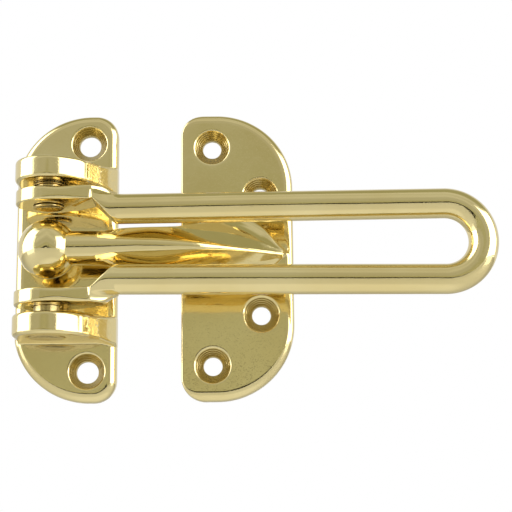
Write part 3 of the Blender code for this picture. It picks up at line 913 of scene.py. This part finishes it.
class GUARD_OT_door_plate(bpy.types.Operator):
    """Build the door plate with its arm and ball"""

    bl_idname = "guard.door_plate"
    bl_label = "Door Plate"

    def execute(self, context):
        obj = casting("cast_door_plate", door_plate_shape, DOOR_PLATE_LOW, DOOR_PLATE_HIGH)
        material = cast_brass("door plate brass", DOOR_HOLES)
        finish_piece(obj, material, "door", "door_plate")
        return {"FINISHED"}


class GUARD_OT_hinge_pins(bpy.types.Operator):
    """Build the two headed pins, each peened inside its eye"""

    bl_idname = "guard.hinge_pins"
    bl_label = "Hinge Pins"

    def execute(self, context):
        finish = context.scene.guard_brass
        pin = context.scene.guard_pins
        eye_inner = context.scene.guard_hinge.eye_inner
        head, head_top = PIN_HIGH.x, PIN_HIGH.z
        head_under = head_top - pin.head_depth
        dish_floor = head_top - pin.dish_depth
        peen_top = eye_inner - pin.peen_gap
        peen_low = eye_inner - pin.peen_depth
        cup_rim = pin.peen - pin.peen_rim
        profile = [(0.0, dish_floor), (pin.dish_radius, dish_floor), (pin.dish_rim, head_top),
                   (head, head_top), (head, head_under), (pin.shank, head_under), (pin.shank, peen_top),
                   (pin.peen, peen_top), (pin.peen, peen_low), (cup_rim, peen_low),
                   (cup_rim - pin.cup_wall, peen_low + pin.cup_depth), (0.0, peen_low + pin.cup_middle)]
        material = turned_brass("hinge pin brass", finish.turned, finish.turned_polish)
        for side, sign in SIDES:
            obj = turned(f"turned_{side}_pin", profile, sign)
            finish_piece(obj, material, "frame", f"{side}_hinge_pin")
        return {"FINISHED"}


class GUARD_OT_friction_washers(bpy.types.Operator):
    """Build the two thin washers between lugs and eyes"""

    bl_idname = "guard.friction_washers"
    bl_label = "Friction Washers"

    def execute(self, context):
        finish = context.scene.guard_brass
        bore, rim = context.scene.guard_hinge.bore, context.scene.guard_pins.washer_radius
        low = WASHER_HIGH.z - context.scene.guard_pins.washer_depth
        profile = [(bore, WASHER_HIGH.z), (rim, WASHER_HIGH.z), (rim, low), (bore, low)]
        material = turned_brass("washer brass", finish.stamped, finish.stamped_polish)
        for side, sign in SIDES:
            obj = turned(f"stamped_{side}_washer", profile, sign, closed=True)
            finish_piece(obj, material, "frame", f"{side}_friction_washer")
        return {"FINISHED"}


# The softboxes: name, place, width and height, and the setting for the power
SOFTBOXES = (
    ("left softbox", (-0.42, -0.22, 0.06), (0.30, 0.60), "side_boxes"),
    ("right softbox", (0.52, -0.20, 0.06), (0.30, 0.60), "side_boxes"),
    ("top softbox", (0.05, -0.20, 0.45), (0.60, 0.25), "top_box"),
)


def softbox(name, place, target, size, power):
    """A rectangular area light that shines from place to target."""
    light = bpy.data.lights.new(name, "AREA")
    light.shape = "RECTANGLE"
    light.size, light.size_y = size
    light.energy = power
    obj = bpy.data.objects.new(name, light)
    obj.location = place
    obj.rotation_euler = (Vector(target) - Vector(place)).to_track_quat("-Z", "Y").to_euler()
    bpy.context.scene.collection.objects.link(obj)
    return obj


# The room, as (rise in degrees, brightness, blue as a share of that); it rises from straight down (-90) past
# the front (0) and straight up (90) to the back (180)
ROOM_RISE = (
    (-90, 0.90, 1.00),
    (-8, 0.86, 1.00),
    (-5, 0.96, 0.92),
    (-3.6, 0.92, 0.90),
    (-2.8, 0.03, 0.80),
    (4.8, 0.03, 0.80),
    (5.8, 0.54, 0.70),
    (15, 0.44, 0.70),
    (20, 0.52, 0.85),
    (33, 0.50, 0.85),
    (50, 0.66, 0.90),
    (70, 0.54, 0.85),
    (88, 0.64, 0.92),
    (102, 0.60, 0.90),
    (112, 0.40, 0.62),
    (150, 0.40, 0.66),
    (168, 0.80, 1.00),
)
ROOM_LOWEST, ROOM_HIGHEST = -90.0, 180.0
# Towards the sides the room seems to rise by this much for each degree of turn, up to a turn of 60 degrees
SIDE_RISE, SIDE_TURN = 0.55, 60.0

# The side windows, in degrees: the turns between which one side fades in and the other out, and the rises
# between which the top fades out; both stand on the same sill
LEFT_WINDOW = ((-105.0, -102.0), (-55.0, -52.0), (52.0, 62.0))
RIGHT_WINDOW = ((38.0, 41.0), (98.0, 101.0), (34.0, 42.0))
SILL = (-16.0, -7.0)


def side_window(tree, turn, rise, window):
    """1 inside a side window and 0 outside it."""
    start, end, top = window
    across = maths(tree, "MULTIPLY", spread(tree, turn, *start, 0.0, 1.0), spread(tree, turn, *end, 1.0, 0.0))
    upright = maths(tree, "MULTIPLY", spread(tree, rise, *SILL, 0.0, 1.0), spread(tree, rise, *top, 1.0, 0.0))
    return maths(tree, "MULTIPLY", across, upright)


def room_world(studio):
    """The room as the brass mirrors it: a dim front wall between bright side windows, over a pale ground."""
    world = bpy.data.worlds.new("studio room")
    bpy.context.scene.world = world
    world.use_nodes = True
    tree = world.node_tree
    tree.nodes.clear()
    towards = tree.nodes.new("ShaderNodeTexCoord").outputs["Generated"]
    x, y, z = node(tree, "ShaderNodeSeparateXYZ", {0: towards}).outputs
    ahead = maths(tree, "MULTIPLY", y, -1.0)
    rise = maths(tree, "DEGREES", maths(tree, "ARCTAN2", z, ahead))
    turn = maths(tree, "DEGREES", maths(tree, "ARCTAN2", x, ahead))
    aside = maths(tree, "MINIMUM", maths(tree, "ABSOLUTE", turn), SIDE_TURN)
    lifted = maths(tree, "ADD", rise, maths(tree, "MULTIPLY", aside, SIDE_RISE))
    wall = node(tree, "ShaderNodeValToRGB", {0: spread(tree, lifted, ROOM_LOWEST, ROOM_HIGHEST, 0.0, 1.0)})
    stops = wall.color_ramp.elements
    for place, (degrees, strength, blue) in enumerate(ROOM_RISE):
        stop = stops[place] if place < 2 else stops.new(1.0)
        stop.position = (degrees - ROOM_LOWEST) / (ROOM_HIGHEST - ROOM_LOWEST)
        stop.color = (strength, strength * (0.98 + 0.02 * blue), strength * blue, 1.0)
    height = maths(tree, "DEGREES", maths(tree, "ARCSINE", z))
    bright = maths(tree, "ADD", side_window(tree, turn, height, LEFT_WINDOW),
                   side_window(tree, turn, height, RIGHT_WINDOW))
    seen_in_brass = blend(tree, bright, wall.outputs["Color"], (studio.sides, studio.sides, studio.sides))
    room = node(tree, "ShaderNodeBackground", {"Color": seen_in_brass, "Strength": studio.room})
    plain = node(tree, "ShaderNodeBackground", {"Color": (1.0, 1.0, 1.0, 1.0), "Strength": studio.backdrop})
    seen = tree.nodes.new("ShaderNodeLightPath").outputs["Is Camera Ray"]
    mix = node(tree, "ShaderNodeMixShader", {0: seen, 1: room.outputs[0], 2: plain.outputs[0]})
    node(tree, "ShaderNodeOutputWorld", {"Surface": mix.outputs[0]})


def plain_floor(studio, centre):
    """A plain floor in two soft tones: a painted pool of light in front of the guard fading to the darker far
    tone, and painted shade behind the guard.
    """
    half, level = studio.floor_half, -studio.floor_drop
    mesh = bpy.data.meshes.new("floor")
    mesh.from_pydata([(x * half, y * half, level) for x, y in ((-1, -1), (1, -1), (1, 1), (-1, 1))],
                     [], [(0, 1, 2, 3)])
    material = bpy.data.materials.new("plain floor")
    material.use_nodes = True
    tree = material.node_tree
    shader = tree.nodes["Principled BSDF"]
    place = tree.nodes.new("ShaderNodeTexCoord").outputs["Object"]
    # Painted pool of light: the floor is lightest round a point in front of the wall and darker further away
    away = node(tree, "ShaderNodeVectorMath", {0: place, 1: (centre.x, -studio.light_pool_front, level)},
                operation="DISTANCE")
    fade = spread(tree, away.outputs["Value"], studio.light_pool_near, studio.light_pool_far, 0.0, 1.0)
    tone = blend(tree, fade, studio.floor, studio.far_floor)
    # Painted shade: the floor's colour darkens behind the wall
    split = node(tree, "ShaderNodeSeparateXYZ", {0: place})
    behind = spread(tree, split.outputs["Y"], studio.shade_start, studio.shade_end, 1.0, studio.behind)
    shade = node(tree, "ShaderNodeVectorMath", {0: tone, "Scale": behind}, operation="SCALE")
    tree.links.new(shade.outputs["Vector"], shader.inputs["Base Color"])
    shader.inputs["Roughness"].default_value = 0.8
    mesh.materials.append(material)
    floor = bpy.data.objects.new("floor", mesh)
    bpy.context.scene.collection.objects.link(floor)
    return floor


# The camera: its yaw, pitch and roll in degrees, the point that it is turned about, and the lens's shift
CAMERA_TURN = (-1.04, 11.82, 0.78)
CAMERA_PIVOT = (0.058, -0.008, 0.0)
LENS_SHIFT = (-0.040, -0.010)


def make_camera(studio):
    """The camera stands a little below the guard and looks slightly up at it."""
    yaw, pitch, roll = (math.radians(a) for a in CAMERA_TURN)
    turn = (Matrix.Rotation(roll, 3, "Z") @ Matrix.Rotation(-pitch, 3, "X")
            @ Matrix.Rotation(-yaw, 3, "Y"))
    # Rows of turn are the camera's right, up and back in (x, z, h); the row frame is (x, -h, z)
    right, up, back = (Vector((row[0], -row[2], row[1])) for row in turn)
    data = bpy.data.cameras.new("camera")
    data.sensor_width = 36.0
    data.lens = studio.lens
    data.shift_x, data.shift_y = LENS_SHIFT
    data.clip_start = 0.01
    camera = bpy.data.objects.new("camera", data)
    stand = Matrix.Translation(Vector(CAMERA_PIVOT) + back * studio.camera_distance)
    camera.matrix_world = stand @ Matrix((right, up, back)).transposed().to_4x4()
    bpy.context.scene.collection.objects.link(camera)
    bpy.context.scene.camera = camera


class GUARD_OT_stage(bpy.types.Operator):
    """Set up the floor, the lights and the camera"""

    bl_idname = "guard.stage"
    bl_label = "Stage"

    def execute(self, context):
        studio = context.scene.guard_studio
        centre = Vector((CAD_BOX[0] + CAD_BOX[1]) / 2)
        floor = plain_floor(studio, centre)
        for name, place, size, power in SOFTBOXES:
            softbox(name, place, centre, size, getattr(studio, power))
        room_world(studio)
        make_camera(studio)
        context.scene.view_settings.view_transform = "Standard"
        return {"FINISHED"}


class GUARD_PT_panel(bpy.types.Panel):
    """Door guard builder"""

    bl_idname = "GUARD_PT_panel"
    bl_label = "Door Guard"
    bl_space_type = "VIEW_3D"
    bl_region_type = "UI"
    bl_category = "Door Guard"

    def draw(self, context):
        for kind in STEPS:
            self.layout.operator(kind.bl_idname, text=kind.bl_label)
        for group in GROUPS:
            settings = getattr(context.scene, group)
            box = self.layout.box()
            for name in GROUPS[group].__annotations__:
                box.prop(settings, name)


STEPS = (GUARD_OT_frame_plate, GUARD_OT_swing_bar, GUARD_OT_door_plate, GUARD_OT_hinge_pins,
         GUARD_OT_friction_washers, GUARD_OT_stage)
GROUPS = {"guard_plates": PlateSizes, "guard_hinge": HingeSizes, "guard_pins": PinSizes,
          "guard_bar": BarSizes, "guard_arm": ArmSizes, "guard_detail": CastingDetail,
          "guard_brass": BrassFinish, "guard_studio": StudioSettings}


def register():
    """Registers every class and hangs the property groups on the scene."""
    for kind in (*GROUPS.values(), *STEPS, GUARD_PT_panel):
        bpy.utils.register_class(kind)
    for name, kind in GROUPS.items():
        setattr(bpy.types.Scene, name, bpy.props.PointerProperty(type=kind))


def unregister():
    """Takes away what register added."""
    for name in GROUPS:
        delattr(bpy.types.Scene, name)
    for kind in reversed((*GROUPS.values(), *STEPS, GUARD_PT_panel)):
        bpy.utils.unregister_class(kind)


def main():
    """Builds every piece and the stage."""
    register()
    bpy.ops.guard.frame_plate()
    bpy.ops.guard.swing_bar()
    bpy.ops.guard.door_plate()
    bpy.ops.guard.hinge_pins()
    bpy.ops.guard.friction_washers()
    bpy.ops.guard.stage()


if __name__ == "__main__":
    main()
